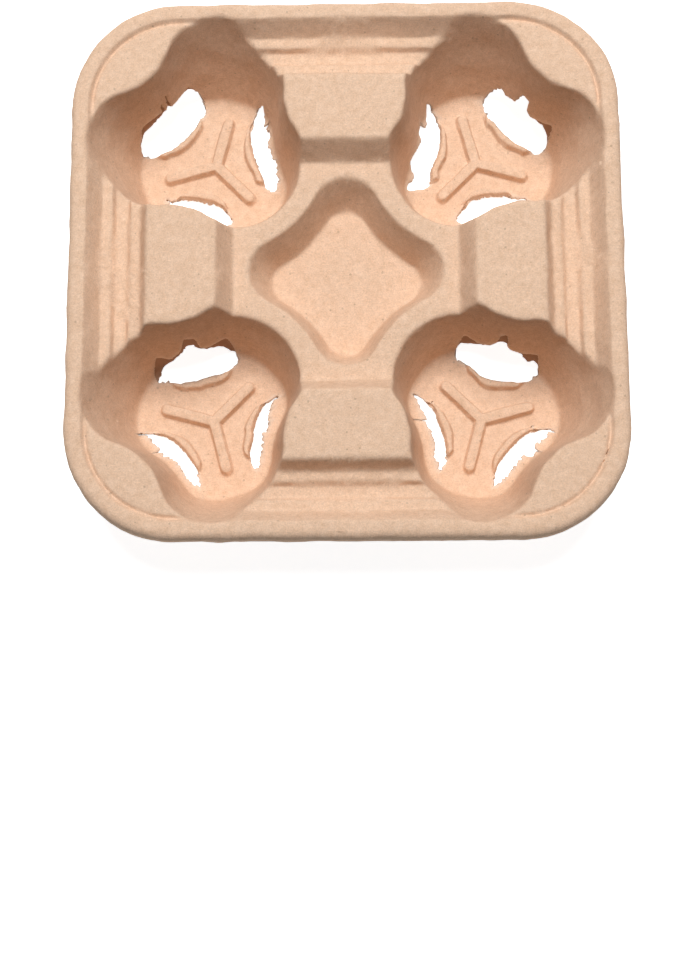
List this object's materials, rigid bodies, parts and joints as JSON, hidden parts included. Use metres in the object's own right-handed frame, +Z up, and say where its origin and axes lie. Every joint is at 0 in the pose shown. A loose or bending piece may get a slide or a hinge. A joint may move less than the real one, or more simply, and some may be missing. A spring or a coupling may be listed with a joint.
{
  "type": "moulded fibre cup carrier",
  "caption": "Square moulded-fibre cup carrier with a rolled rim, round cup pockets with torn grip openings, raised side pads and a diamond-shaped centre recess.",
  "frame": {"origin": "centre of the square outline, in the plane the pocket floors stand on", "axes": "+Z up out of the pockets, +X and +Y square to the sides"},
  "size_m": [0.216, 0.216, 0.0455],
  "materials": {
    "moulded_fibre": "unbleached moulded paper pulp, matt, faintly fibrous, with torn edges"
  },
  "bodies": {
    "root": {"moulded_tray": "moulded_fibre"}
  },
  "joints": []
}
